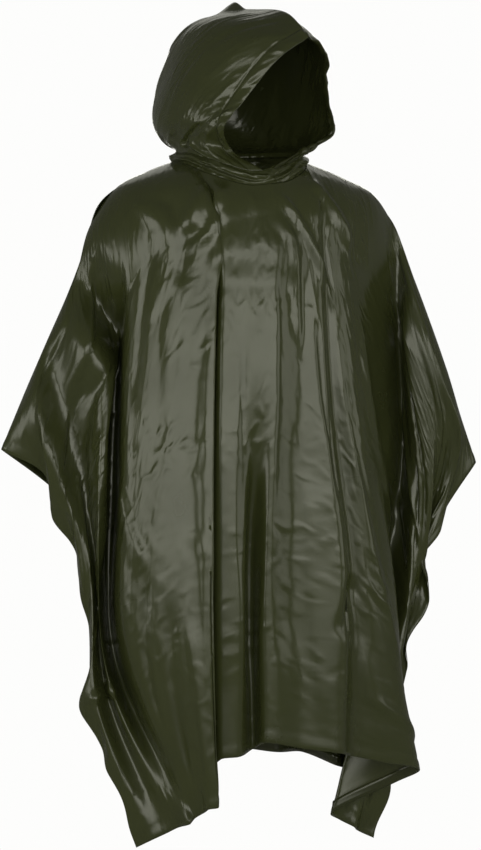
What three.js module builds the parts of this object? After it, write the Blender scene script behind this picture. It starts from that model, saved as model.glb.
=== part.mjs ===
import * as THREE from "three";

// Rain poncho as it hangs on a standing figure: two body panels and a hood in thin PVC film.
// Millimetres, +Z up. The origin is the middle of the neck on the line of the shoulders.
// The garment faces -Y, so the wearer's left hand is on +X.

// Film and turnings
const WALL = 2;
const SEAM_GAP = 0.3;
const HEM_WIDTH = 22;
const TURNING_WALL = 1.2;

// Finishes
const FILM = { color: 0x3a3f28, roughness: 0.38 };
const HEM_FILM = { color: 0x33381f, roughness: 0.45 };
const GATHERED_FILM = { color: 0x2f331f, roughness: 0.45 };

// The four levels of a body panel, as distances down the cloth from the shoulder line
const CHEST = 190;
const WAIST = 480;
const HIP = 800;
const HEM = 1100;
const LEVELS = [CHEST, WAIST, HIP, HEM];

// The cloth makes a quarter turn over the shoulder as far as the chest, then hangs straight down:
// how far it falls in that turn, and the share of the whole drop that this is
const TURN_FALL = CHEST / (Math.PI / 2);
const CHEST_SHARE = TURN_FALL / (HEM - CHEST + TURN_FALL);

// Turns, in degrees
const QUARTER_TURN = 90;
const HALF_TURN = 180;
const FULL_TURN = 360;

// Neck opening in the cut: its middle across, half its width, and its depth on the front and back
const NECK_MIDDLE = -10;
const NECK_HALF_WIDTH = 116;
const NECK_FRONT_DEPTH = 135;
const NECK_BACK_DEPTH = 80;
const NECK_STEP_DEGREES = 15;

// Slope of the shoulder line, in degrees, at distances along the cloth from its middle
const SHOULDER_HEIGHT = 28;
const SHOULDER_STEPS = 80;
const RIGHT_SHOULDER = [
  { along: 0, slope: 5 },
  { along: 60, slope: 8 },
  { along: 110, slope: 15 },
  { along: 150, slope: 23 },
  { along: 205, slope: 26 },
  { along: 240, slope: 36 },
  { along: 285, slope: 63 },
  { along: 324, slope: 81 },
  { along: 365, slope: 72 },
  { along: 400, slope: 66 },
  { along: 760, slope: 67 },
];
const LEFT_SHOULDER = [
  { along: 0, slope: 6 },
  { along: 60, slope: 9 },
  { along: 110, slope: 18 },
  { along: 155, slope: 21 },
  { along: 205, slope: 23 },
  { along: 235, slope: 31 },
  { along: 283, slope: 58 },
  { along: 323, slope: 68 },
  { along: 361, slope: 70 },
  { along: 760, slope: 70 },
];

// Folds of the front, from the wearer's right edge to the left one. Each row is a fold's ridge or
// valley: its place across the cut, then x and y at the chest, waist and hip, and x, y, z at the hem.
const FRONT_FOLDS = [
  // Cloth over the right arm
  { across: -715, chest: [-335, -25], waist: [-278, -30], hip: [-276, -80], hem: [-209, -100, -1131] },
  { across: -600, chest: [-355, -60], waist: [-281, -60], hip: [-272, -95], hem: [-187, -120, -1116] },
  { across: -540, chest: [-312, -25], waist: [-268, -45], hip: [-251, -60], hem: [-167, -130, -1105] },
  { across: -470, chest: [-255, -80], waist: [-271, -100], hip: [-252, -80], hem: [-149, -145, -1093] },
  // Valley between the arm and the chest
  { across: -395, chest: [-216, -5], waist: [-224, 0], hip: [-229, -26], hem: [-136, -176, -1082] },
  // Right side of the chest, down to the free edge of the large pleat
  { across: -315, chest: [-219, -80], waist: [-232, -120], hip: [-231, -140], hem: [-126, -168, -1075] },
  { across: -230, chest: [-186, -105], waist: [-195, -145], hip: [-188, -170], hem: [-115, -183, -1064] },
  { across: -165, chest: [-132, -135], waist: [-145, -160], hip: [-140, -190], hem: [-111, -199, -1056] },
  { across: -120, chest: [-82, -150], waist: [-97, -182], hip: [-103, -203], hem: [-95, -203, -1053] },
  { across: -105, chest: [-76, -141], waist: [-96, -142], hip: [-104, -142], hem: [-100, -124, -1039] },
  // Middle of the front
  { across: -90, chest: [-70, -151], waist: [-86, -178], hip: [-93, -184], hem: [-90, -186, -978] },
  { across: -65, chest: [-48, -156], waist: [-56, -184], hip: [-54, -196], hem: [-58, -194, -973] },
  { across: -30, chest: [-18, -159], waist: [-26, -188], hip: [-28, -152], hem: [-24, -150, -968] },
  { across: 2, chest: [16, -161], waist: [2, -189], hip: [-7, -191], hem: [-12, -192, -952] },
  { across: 56, chest: [57, -150], waist: [51, -172], hip: [56, -180], hem: [54, -186, -965] },
  { across: 100, chest: [88, -146], waist: [97, -172], hip: [124, -186], hem: [118, -190, -975] },
  // Narrow pleat and the swinging corner on the left
  { across: 120, chest: [100, -134], waist: [114, -146], hip: [149, -150], hem: [148, -150, -986] },
  { across: 145, chest: [114, -132], waist: [134, -148], hip: [175, -152], hem: [213, -135, -1002] },
  { across: 185, chest: [138, -122], waist: [157, -146], hip: [214, -130], hem: [290, -85, -1025] },
  { across: 240, chest: [176, -92], waist: [200, -105], hip: [250, -85], hem: [262, -40, -1051] },
  { across: 320, chest: [274, 0], waist: [290, 20], hip: [232, 8], hem: [156, -10, -1105] },
  // Cloth over the left arm
  { across: 400, chest: [273, -50], waist: [295, -40], hip: [262, -50], hem: [176, 12, -1121] },
  { across: 480, chest: [319, -60], waist: [321, -45], hip: [272, 4], hem: [199, -2, -1133] },
  { across: 600, chest: [377, -40], waist: [300, -2], hip: [256, -34], hem: [215, 22, -1145] },
  { across: 745, chest: [362, -15], waist: [308, -32], hip: [276, 14], hem: [239, 14, -1156] },
];

// Folds of the back, in the same columns
const BACK_FOLDS = [
  // Cloth over the right arm
  { across: -715, chest: [-315, 40], waist: [-250, 55], hip: [-232, 70], hem: [-160, 60, -1098] },
  { across: -610, chest: [-322, 75], waist: [-245, 90], hip: [-222, 100], hem: [-138, 95, -1090] },
  { across: -520, chest: [-282, 65], waist: [-236, 70], hip: [-205, 80], hem: [-150, 120, -1080] },
  { across: -430, chest: [-212, 30], waist: [-205, 35], hip: [-190, 50], hem: [-165, 95, -1068] },
  // Right shoulder blade to left shoulder blade
  { across: -350, chest: [-200, 85], waist: [-205, 110], hip: [-205, 120], hem: [-185, 120, -1060] },
  { across: -270, chest: [-150, 128], waist: [-165, 130], hip: [-175, 150], hem: [-180, 165, -1050] },
  { across: -190, chest: [-112, 132], waist: [-122, 118], hip: [-128, 112], hem: [-125, 110, -1040] },
  { across: -110, chest: [-66, 140], waist: [-78, 150], hip: [-84, 168], hem: [-84, 172, -1030] },
  { across: -30, chest: [-18, 138], waist: [-20, 128], hip: [-24, 120], hem: [-26, 116, -1020] },
  { across: 50, chest: [32, 142], waist: [34, 154], hip: [36, 170], hem: [36, 176, -1015] },
  { across: 130, chest: [80, 136], waist: [84, 126], hip: [88, 116], hem: [92, 112, -1015] },
  { across: 215, chest: [134, 130], waist: [142, 142], hip: [152, 158], hem: [156, 164, -1025] },
  { across: 300, chest: [190, 92], waist: [196, 96], hip: [200, 92], hem: [196, 90, -1040] },
  { across: 370, chest: [236, 78], waist: [238, 98], hip: [234, 110], hem: [222, 118, -1052] },
  // Cloth over the left arm
  { across: 450, chest: [256, 22], waist: [252, 30], hip: [236, 45], hem: [206, 80, -1070] },
  { across: 540, chest: [318, 60], waist: [290, 62], hip: [256, 72], hem: [200, 70, -1085] },
  { across: 640, chest: [372, 62], waist: [308, 75], hip: [268, 88], hem: [214, 92, -1098] },
  { across: 745, chest: [360, 30], waist: [308, 45], hip: [270, 60], hem: [232, 62, -1110] },
];

// Waves of the four side edges: how far down the cloth, how far they swing along x and y,
// and half their length. They die away over the reach.
const WAVE_REACH = 130;
const FRONT_WAVES = [
  { edge: -715, down: 120, x: 22, y: -4, half: 80 },
  { edge: -715, down: 250, x: -11, y: 6, half: 60 },
  { edge: -715, down: 340, x: 8, y: 4, half: 60 },
  { edge: -715, down: 460, x: -9, y: -12, half: 80 },
  { edge: -715, down: 735, x: -18, y: 6, half: 80 },
  { edge: -715, down: 850, x: 8, y: 6, half: 60 },
  { edge: -715, down: 970, x: 8, y: -6, half: 100 },
  { edge: 745, down: 331, x: -25, y: -8, half: 80 },
  { edge: 745, down: 459, x: 12, y: 6, half: 70 },
  { edge: 745, down: 565, x: -14, y: -4, half: 80 },
  { edge: 745, down: 760, x: 4, y: 10, half: 90 },
  { edge: 745, down: 976, x: 14, y: -4, half: 110 },
];
const BACK_WAVES = [
  { edge: -715, down: 300, x: 10, y: 12, half: 90 },
  { edge: -715, down: 470, x: 6, y: -12, half: 90 },
  { edge: -715, down: 700, x: 12, y: 12, half: 110 },
  { edge: 745, down: 260, x: -14, y: 10, half: 80 },
  { edge: 745, down: 430, x: 6, y: -12, half: 90 },
  { edge: 745, down: 640, x: -14, y: 12, half: 100 },
  { edge: 745, down: 880, x: 8, y: -10, half: 110 },
];

// Rows of a body panel's mesh, closer together over the shoulder than down the skirt
const PANEL_ROWS = 18;
const ROW_CROWDING = 1.3;

// Gathered band between the neck opening and the hood
const BAND_HEIGHT_SIDE = 14;
const BAND_HEIGHT_FRONT = 27;
const BAND_SEAT = 0.8;
const BAND_LEAN = 8;
const BAND_PUFF = 4;
const BAND_ROWS = 4;
const GATHER_DEPTH = 2.4;
const GATHERS_PER_STEP = 1.5;
const BAND_COLUMNS_PER_STEP = 3;

// The band's upper edge dips to a V at the throat: share of its height, and steps to each side
const THROAT_DIP = 0.16;
const THROAT_STEPS = 3;

// Hood: half-hoops from the brim to the seam down the back of the head. A hoop starts on the band
// at an angle round the neck from the throat, and rises over its jaw, cheek, temple and brow to
// its crown. Each place is forward, outward and up, in a frame turned with the head.
const HOOD_TURN = 25;
const HOOD_TURN_END = 0.36;
const HOOD_ROWS = 12;
const HOOD_HOOPS = [
  { round: 0, jaw: [91, 61, 20], cheek: [103, 116, 56], temple: [115, 95, 98],
    brow: [150, 49, 168], crown: [170, 0, 206] },
  { round: 35, jaw: [72, 100, 34], cheek: [56, 130, 66], temple: [62, 122, 124],
    brow: [104, 78, 206], crown: [114, 0, 250] },
  { round: 80, jaw: [8, 118, 42], cheek: [-2, 136, 74], temple: [4, 126, 152],
    brow: [26, 84, 234], crown: [34, 0, 264] },
  { round: 115, jaw: [-58, 116, 42], cheek: [-66, 128, 74], temple: [-60, 114, 150],
    brow: [-50, 78, 234], crown: [-44, 0, 268] },
  { round: 150, jaw: [-108, 84, 40], cheek: [-124, 94, 74], temple: [-124, 84, 138],
    brow: [-114, 52, 220], crown: [-106, 0, 256] },
  { round: 180, jaw: [-122, 0, 44], cheek: [-152, 0, 84], temple: [-158, 0, 134],
    brow: [-152, 0, 184], crown: [-138, 0, 224] },
];
const HOOP_PLACES = [0, 0.14, 0.32, 0.56, 0.8, 1];

// Tuck of film that stands up where the hood's seam is gathered on the crown
const TUCK_ROUND = 105;
const TUCK_HALF_ROUND = 15;
const TUCK_HEIGHT = 13;
const TUCK_HALF_RISE = 0.08;

// Straight-line value of a table's column at a place
function valueAt(table, placeKey, valueKey, place) {
  const last = table.length - 1;
  const next = table.findIndex((row) => row[placeKey] >= place);
  const high = next < 0 ? last : Math.max(next, 1);
  const from = table[high - 1];
  const to = table[high];
  const share = (place - from[placeKey]) / (to[placeKey] - from[placeKey]);
  return THREE.MathUtils.lerp(from[valueKey], to[valueKey], THREE.MathUtils.clamp(share, 0, 1));
}

// Smooth curve through values at unequal places
function smoothThrough(places, values, place) {
  const last = places.length - 1;
  let i = 0;
  while (i < last - 1 && place > places[i + 1]) i += 1;
  const slope = (k) => {
    const before = Math.max(k - 1, 0);
    const after = Math.min(k + 1, last);
    return (values[after] - values[before]) / (places[after] - places[before]);
  };
  const span = places[i + 1] - places[i];
  const t = (place - places[i]) / span;
  const rise = values[i + 1] - values[i];
  const startBend = slope(i) * span - rise;
  const endBend = rise - slope(i + 1) * span;
  return values[i] + rise * t + t * (1 - t) * (startBend * (1 - t) + endBend * t);
}

// Bell that is one at the middle and zero from one half-length away
function bell(distance) {
  const d = Math.min(Math.abs(distance), 1);
  return 0.5 + 0.5 * Math.cos(Math.PI * d);
}

// Point of the shoulder line at a distance across the cut
function shoulderPoint(across) {
  const slopes = across < 0 ? RIGHT_SHOULDER : LEFT_SHOULDER;
  const step = Math.abs(across) / SHOULDER_STEPS;
  const point = new THREE.Vector3(0, 0, SHOULDER_HEIGHT);
  for (let i = 0; i < SHOULDER_STEPS; i += 1) {
    const slope = THREE.MathUtils.degToRad(valueAt(slopes, "along", "slope", (i + 0.5) * step));
    point.x += Math.sign(across) * step * Math.cos(slope);
    point.z -= step * Math.sin(slope);
  }
  return point;
}

// Share of the whole drop that lies above a distance down the cloth
function dropShare(down) {
  if (down < CHEST) return CHEST_SHARE * (1 - Math.cos((Math.PI / 2) * (down / CHEST)));
  return CHEST_SHARE + (1 - CHEST_SHARE) * ((down - CHEST) / (HEM - CHEST));
}

// Point of one fold at a distance down the cloth
function foldPoint(fold, down) {
  const z = THREE.MathUtils.lerp(fold.top.z, fold.hem[2], dropShare(down));
  if (down < CHEST) {
    const turn = (Math.PI / 2) * (down / CHEST);
    const spread = 0.5 * (1 - Math.cos(turn)) + 0.5 * (down / CHEST) * Math.sin(turn);
    return new THREE.Vector3(
      THREE.MathUtils.lerp(fold.top.x, fold.chest[0], spread),
      fold.chest[1] * Math.sin(turn),
      z,
    );
  }
  const xs = [fold.chest[0], fold.waist[0], fold.hip[0], fold.hem[0]];
  const ys = [fold.chest[1], fold.waist[1], fold.hip[1], fold.hem[1]];
  return new THREE.Vector3(smoothThrough(LEVELS, xs, down), smoothThrough(LEVELS, ys, down), z);
}

// Distance down the cloth where the neck opening ends
function neckEdge(panel, across) {
  const share = Math.min(Math.abs(across - NECK_MIDDLE) / NECK_HALF_WIDTH, 1);
  return panel.neckDepth * Math.sqrt(1 - share * share);
}

// Curve through points, tight enough not to overshoot a narrow fold
function smoothCurve(points) {
  return new THREE.CatmullRomCurve3(points, false, "centripetal");
}

// Point of a body panel's outer face
function clothPoint(panel, across, down) {
  const folds = panel.folds;
  const row = smoothCurve(folds.map((fold) => foldPoint(fold, down)));
  const next = Math.max(folds.findIndex((fold) => fold.across >= across), 1);
  const span = folds[next].across - folds[next - 1].across;
  const place = next - 1 + (across - folds[next - 1].across) / span;
  const point = row.getPoint(place / (folds.length - 1));
  for (const wave of panel.waves) {
    const size = bell((down - wave.down) / wave.half) * bell((across - wave.edge) / WAVE_REACH);
    point.x += wave.x * size;
    point.y += wave.y * size;
  }
  point.y += panel.facing * (SEAM_GAP / 2);
  return point;
}

// Places of a panel's mesh columns: even steps round the neck, then each fold and the middle
// between it and the next, and the inner line of each side hem
function columnPlaces(panel) {
  const places = [];
  for (let angle = -QUARTER_TURN; angle <= QUARTER_TURN; angle += NECK_STEP_DEGREES) {
    places.push(NECK_MIDDLE + NECK_HALF_WIDTH * Math.sin(THREE.MathUtils.degToRad(angle)));
  }
  const folds = panel.folds.map((fold) => fold.across);
  const middles = folds.slice(1).map((across, i) => (across + folds[i]) / 2);
  const edges = [folds[0] + HEM_WIDTH, folds[folds.length - 1] - HEM_WIDTH];
  const clearOfNeck = NECK_HALF_WIDTH + HEM_WIDTH / 2;
  for (const across of [...folds, ...middles, ...edges]) {
    if (Math.abs(across - NECK_MIDDLE) > clearOfNeck) places.push(across);
  }
  places.sort((a, b) => a - b);
  return panel.facing < 0 ? places : places.reverse();
}

// Rows of points of a body panel, the last row but one on the inner line of the hem
function panelGrid(panel) {
  const columns = columnPlaces(panel);
  const grid = [];
  for (let i = 0; i <= PANEL_ROWS; i += 1) {
    const share = (i / PANEL_ROWS) ** ROW_CROWDING;
    grid.push(columns.map((across) => {
      const top = neckEdge(panel, across);
      return clothPoint(panel, across, THREE.MathUtils.lerp(top, HEM - HEM_WIDTH, share));
    }));
  }
  grid.push(columns.map((across) => clothPoint(panel, across, HEM)));
  return { columns, grid };
}

// Inward normals of a grid whose columns and rows turn towards the inside of the garment
function inwardNormals(grid, closed = false) {
  const rows = grid.length;
  const columns = grid[0].length;
  const normals = grid.map((row) => row.map(() => new THREE.Vector3()));
  const cells = closed ? columns : columns - 1;
  for (let i = 0; i < rows - 1; i += 1) {
    for (let j = 0; j < cells; j += 1) {
      const k = (j + 1) % columns;
      const fall = grid[i + 1][k].clone().sub(grid[i][j]);
      const back = grid[i + 1][j].clone().sub(grid[i][k]);
      const normal = fall.cross(back).normalize();
      for (const corner of [normals[i][j], normals[i][k], normals[i + 1][j], normals[i + 1][k]]) {
        corner.add(normal);
      }
    }
  }
  normals.forEach((row) => row.forEach((normal) => normal.normalize()));
  return normals;
}

// The same grid moved inward
function moved(grid, normals, distance) {
  const move = (point, i, j) => point.clone().addScaledVector(normals[i][j], distance);
  return grid.map((row, i) => row.map((point, j) => move(point, i, j)));
}

// Closed wall between an outer and an inner grid
function wallGeometry(outer, inner, closed = false) {
  const rows = outer.length;
  const columns = outer[0].length;
  const points = [...outer.flat(), ...inner.flat()].flatMap((point) => point.toArray());
  const faces = [];
  const at = (side, i, j) => side * rows * columns + i * columns + (j % columns);
  const quad = (a, b, c, d) => faces.push(a, b, c, a, c, d);
  const cells = closed ? columns : columns - 1;
  for (let i = 0; i < rows - 1; i += 1) {
    for (let j = 0; j < cells; j += 1) {
      faces.push(at(0, i, j), at(0, i + 1, j + 1), at(0, i, j + 1));
      faces.push(at(0, i, j), at(0, i + 1, j), at(0, i + 1, j + 1));
      quad(at(1, i, j), at(1, i, j + 1), at(1, i + 1, j + 1), at(1, i + 1, j));
    }
    if (!closed) {
      const end = columns - 1;
      quad(at(0, i + 1, 0), at(0, i, 0), at(1, i, 0), at(1, i + 1, 0));
      quad(at(0, i + 1, end), at(1, i + 1, end), at(1, i, end), at(0, i, end));
    }
  }
  for (let j = 0; j < cells; j += 1) {
    const low = rows - 1;
    quad(at(0, 0, j), at(0, 0, j + 1), at(1, 0, j + 1), at(1, 0, j));
    quad(at(0, low, j + 1), at(0, low, j), at(1, low, j), at(1, low, j + 1));
  }
  const geometry = new THREE.BufferGeometry();
  geometry.setAttribute("position", new THREE.Float32BufferAttribute(points, 3));
  geometry.setIndex(faces);
  geometry.computeVertexNormals();
  return geometry;
}

// Strip of a grid, from one row and column to another
function strip(grid, fromRow, toRow, fromColumn, toColumn) {
  return grid.slice(fromRow, toRow + 1).map((row) => row.slice(fromColumn, toColumn + 1));
}

// Turned edge on the inside of a panel, pulled back from the hem it meets at its lower end
function turning(cloth, fromRow, toRow, fromColumn, toColumn, meetsHem = false) {
  const points = strip(cloth.grid, fromRow, toRow, fromColumn, toColumn);
  const normals = strip(cloth.normals, fromRow, toRow, fromColumn, toColumn);
  const outer = moved(points, normals, WALL + SEAM_GAP);
  const inner = moved(points, normals, WALL + SEAM_GAP + TURNING_WALL);
  if (meetsHem) {
    for (const side of [outer, inner]) {
      const end = side[side.length - 1];
      const before = side[side.length - 2];
      end.forEach((point, j) => point.add(before[j].clone().sub(point).setLength(SEAM_GAP)));
    }
  }
  return wallGeometry(outer, inner);
}

const UPWARD = new THREE.Vector3(0, 0, 1);
const poncho = new THREE.Group();

function addPiece(name, geometry, finish) {
  const mesh = new THREE.Mesh(geometry, new THREE.MeshStandardMaterial(finish));
  mesh.name = name;
  poncho.add(mesh);
}

// Two neighbouring grids share one normal along the seam between them
function shareNormals(first, second) {
  first.forEach((normal, i) => {
    normal.add(second[i]).normalize();
    second[i].copy(normal);
  });
}

// Body panels
const front = { facing: -1, folds: FRONT_FOLDS, waves: FRONT_WAVES, neckDepth: NECK_FRONT_DEPTH };
const back = { facing: 1, folds: BACK_FOLDS, waves: BACK_WAVES, neckDepth: NECK_BACK_DEPTH };
for (const panel of [front, back]) {
  for (const fold of panel.folds) fold.top = shoulderPoint(fold.across);
  Object.assign(panel, panelGrid(panel));
  panel.normals = inwardNormals(panel.grid);
}

// The two panels meet on the shoulders with their walls upright
const isOnShoulder = (across) => Math.abs(across - NECK_MIDDLE) > NECK_HALF_WIDTH - SEAM_GAP;
for (const panel of [front, back]) {
  panel.normals[0].forEach((normal, j) => {
    if (isOnShoulder(panel.columns[j])) normal.setY(0).normalize();
  });
}
addPiece("body_front", wallGeometry(front.grid, moved(front.grid, front.normals, WALL)), FILM);
addPiece("body_back", wallGeometry(back.grid, moved(back.grid, back.normals, WALL)), FILM);

// Turned hems along the foot and the side edges of each panel
for (const [name, panel] of [["front", front], ["back", back]]) {
  const foot = panel.grid.length - 1;
  const end = panel.columns.length - 1;
  const [first, last] = panel.facing < 0 ? ["right", "left"] : ["left", "right"];
  addPiece(`hem_${name}`, turning(panel, foot - 1, foot, 0, end), HEM_FILM);
  addPiece(`side_hem_${name}_${first}`, turning(panel, 1, foot - 1, 0, 1, true), HEM_FILM);
  addPiece(`side_hem_${name}_${last}`, turning(panel, 1, foot - 1, end - 1, end, true), HEM_FILM);
}

// Points of the neck opening, once round from the throat by the wearer's left to the back
const frontNeck = front.columns.map((across, j) => ({ across, point: front.grid[0][j] }));
const backNeck = back.columns.map((across, j) => ({ across, point: back.grid[0][j] }));
const inNeck = (place) => Math.abs(place.across - NECK_MIDDLE) < NECK_HALF_WIDTH + SEAM_GAP;
const neckRing = [
  ...frontNeck.filter((place) => inNeck(place) && place.across > NECK_MIDDLE - SEAM_GAP),
  ...backNeck.filter((place) => inNeck(place)).slice(1),
  ...frontNeck.filter((place) => inNeck(place) && place.across < NECK_MIDDLE - SEAM_GAP).slice(1),
].map((place) => place.point);
const neckMiddle = neckRing.reduce((sum, point) => sum.add(point), new THREE.Vector3())
  .divideScalar(neckRing.length);

// Point of the gathered band: a step round the neck from the throat, and a share of its height
function bandPoint(step, rise) {
  const count = neckRing.length;
  const from = neckRing[Math.floor(step) % count];
  const to = neckRing[(Math.floor(step) + 1) % count];
  const point = from.clone().lerp(to, step % 1);
  const outward = point.clone().sub(neckMiddle).setZ(0).normalize();
  const full = BAND_HEIGHT_SIDE + (BAND_HEIGHT_FRONT - BAND_HEIGHT_SIDE) * Math.abs(outward.y);
  const fromThroat = Math.min(step, count - step) / THROAT_STEPS;
  const height = full * (1 - THROAT_DIP * Math.max(1 - fromThroat, 0));
  const fullness = Math.sin(Math.PI * rise);
  const gather = GATHER_DEPTH * Math.cos(2 * Math.PI * step * GATHERS_PER_STEP);
  point.addScaledVector(outward, fullness * (BAND_PUFF + gather) - BAND_LEAN * rise - SEAM_GAP);
  point.z += BAND_SEAT + height * rise;
  return point;
}

const bandGrid = [];
const bandColumns = neckRing.length * BAND_COLUMNS_PER_STEP;
for (let i = 0; i <= BAND_ROWS; i += 1) {
  const row = [];
  for (let j = 0; j < bandColumns; j += 1) {
    row.push(bandPoint(j / BAND_COLUMNS_PER_STEP, 1 - i / BAND_ROWS));
  }
  bandGrid.push(row);
}
const bandNormals = inwardNormals(bandGrid, true);
for (const row of [bandNormals[0], bandNormals[BAND_ROWS]]) {
  row.forEach((normal) => normal.setZ(0).normalize());
}
addPiece("neck_band", wallGeometry(bandGrid, moved(bandGrid, bandNormals, WALL), true), GATHERED_FILM);

// Lowest point of the hood, on the band, at an angle round the neck
function neckStart(side, round) {
  const step = (round / FULL_TURN) * neckRing.length;
  const place = side > 0 ? step : (neckRing.length - step) % neckRing.length;
  return bandPoint(place, 1).add(new THREE.Vector3(0, 0, SEAM_GAP));
}

// Control points of one half-hoop of the hood, turned with the head above the neck
function hoopControls(hoop, side) {
  const places = [hoop.jaw, hoop.cheek, hoop.temple, hoop.brow, hoop.crown];
  const points = places.map(([forward, outward, up], k) => {
    const turned = Math.min(HOOP_PLACES[k + 1] / HOOD_TURN_END, 1);
    const turn = THREE.MathUtils.degToRad(HOOD_TURN * turned);
    return new THREE.Vector3(side * outward, -forward, up).applyAxisAngle(UPWARD, turn);
  });
  return [neckStart(side, hoop.round), ...points];
}

// Point of the hood at an angle round the neck and a share of the way up its hoops
function hoodPoint(controls, side, round, rise) {
  const next = Math.max(HOOP_PLACES.findIndex((place) => place >= rise), 1);
  const share = (rise - HOOP_PLACES[next - 1]) / (HOOP_PLACES[next] - HOOP_PLACES[next - 1]);
  const along = (next - 1 + share) / (HOOP_PLACES.length - 1);
  const arch = controls.map((points) => smoothCurve(points).getPoint(along));
  const after = Math.max(HOOD_HOOPS.findIndex((hoop) => hoop.round >= round), 1);
  const from = HOOD_HOOPS[after - 1].round;
  const reach = after - 1 + (round - from) / (HOOD_HOOPS[after].round - from);
  const place = reach / (HOOD_HOOPS.length - 1);
  const point = rise > 0 ? smoothCurve(arch).getPoint(place) : neckStart(side, round);
  const tuck = bell((round - TUCK_ROUND) / TUCK_HALF_ROUND) * bell((1 - rise) / TUCK_HALF_RISE);
  point.z += TUCK_HEIGHT * tuck;
  return point;
}

// One side of the hood, as rows from the crown seam down to the band
function hoodGrid(side) {
  const controls = HOOD_HOOPS.map((hoop) => hoopControls(hoop, side));
  const rounds = [];
  for (let round = 0; round <= HALF_TURN; round += NECK_STEP_DEGREES) rounds.push(round);
  if (side < 0) rounds.reverse();
  const grid = [];
  for (let i = 0; i <= HOOD_ROWS; i += 1) {
    grid.push(rounds.map((round) => hoodPoint(controls, side, round, 1 - i / HOOD_ROWS)));
  }
  return grid;
}

const hoodLeft = { grid: hoodGrid(1) };
const hoodRight = { grid: hoodGrid(-1) };
const hoodEnd = hoodLeft.grid[0].length - 1;
for (const half of [hoodLeft, hoodRight]) {
  half.normals = inwardNormals(half.grid);
}
shareNormals(hoodLeft.normals[0], [...hoodRight.normals[0]].reverse());
shareNormals(
  hoodLeft.normals.slice(1).map((row) => row[hoodEnd]),
  hoodRight.normals.slice(1).map((row) => row[0]),
);
const acrossHood = new THREE.Vector3(1, 0, 0)
  .applyAxisAngle(UPWARD, THREE.MathUtils.degToRad(HOOD_TURN));
for (const [half, side] of [[hoodLeft, 1], [hoodRight, -1]]) {
  half.normals[HOOD_ROWS].forEach((normal) => normal.setZ(0).normalize());
  const shift = side * (SEAM_GAP / 2);
  half.grid.forEach((row) => row.forEach((point) => point.addScaledVector(acrossHood, shift)));
}

for (const [name, half, brim] of [["left", hoodLeft, 0], ["right", hoodRight, hoodEnd - 1]]) {
  addPiece(`hood_${name}`, wallGeometry(half.grid, moved(half.grid, half.normals, WALL)), FILM);
  addPiece(`brim_casing_${name}`, turning(half, 1, HOOD_ROWS - 1, brim, brim + 1), HEM_FILM);
}

export default poncho;
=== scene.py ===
"""Rain poncho in creased PVC film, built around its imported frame.

The cloth is worked out in millimetres, by its distance across the cut and down from the shoulder
line, with the same fold tables as the solids. Blender objects are in metres.
"""
import math

import bpy
import numpy as np
from bpy.props import FloatProperty, FloatVectorProperty, PointerProperty
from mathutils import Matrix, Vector


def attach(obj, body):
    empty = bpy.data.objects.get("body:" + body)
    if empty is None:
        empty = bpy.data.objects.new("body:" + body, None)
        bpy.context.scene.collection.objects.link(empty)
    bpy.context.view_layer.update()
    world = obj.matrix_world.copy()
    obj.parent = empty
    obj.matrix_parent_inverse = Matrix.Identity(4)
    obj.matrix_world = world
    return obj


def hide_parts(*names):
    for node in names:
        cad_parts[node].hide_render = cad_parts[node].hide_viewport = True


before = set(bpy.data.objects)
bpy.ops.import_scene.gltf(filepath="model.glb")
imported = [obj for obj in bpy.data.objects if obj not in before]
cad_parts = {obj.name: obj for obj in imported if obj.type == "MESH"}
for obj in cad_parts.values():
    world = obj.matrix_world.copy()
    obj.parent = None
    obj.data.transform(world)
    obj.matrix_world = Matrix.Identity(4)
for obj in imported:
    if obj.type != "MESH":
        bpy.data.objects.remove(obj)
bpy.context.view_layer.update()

bl_info = {
    "name": "Rain poncho",
    "version": (1, 0, 0),
    "blender": (4, 5, 0),
    "location": "3D View > Sidebar > Poncho",
    "description": "Builds a hooded rain poncho in creased PVC film, with a studio round it",
    "category": "Object",
}

MM = 0.001
SEAM_GAP = 0.3
HEM_WIDTH = 22.0

# Levels of a body panel, as distances down the cloth from the shoulder line
CHEST, WAIST, HIP, HEM = 190.0, 480.0, 800.0, 1100.0
LEVELS = np.array([CHEST, WAIST, HIP, HEM])

# Neck opening in the cut
NECK_MIDDLE = -10.0
NECK_HALF_WIDTH = 116.0
NECK_DEPTH = {"front": 135.0, "back": 80.0}
FACING = {"front": -1.0, "back": 1.0}

# Slope of the shoulder line, in degrees, at distances along the cloth from its middle
SHOULDER_HEIGHT = 28.0
SHOULDER_STEPS = 80
SHOULDER = {
    "right": ((0, 5), (60, 8), (110, 15), (150, 23), (205, 26), (240, 36), (285, 63),
              (324, 81), (365, 72), (400, 66), (760, 67)),
    "left": ((0, 6), (60, 9), (110, 18), (155, 21), (205, 23), (235, 31), (283, 58),
             (323, 68), (361, 70), (760, 70)),
}

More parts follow.
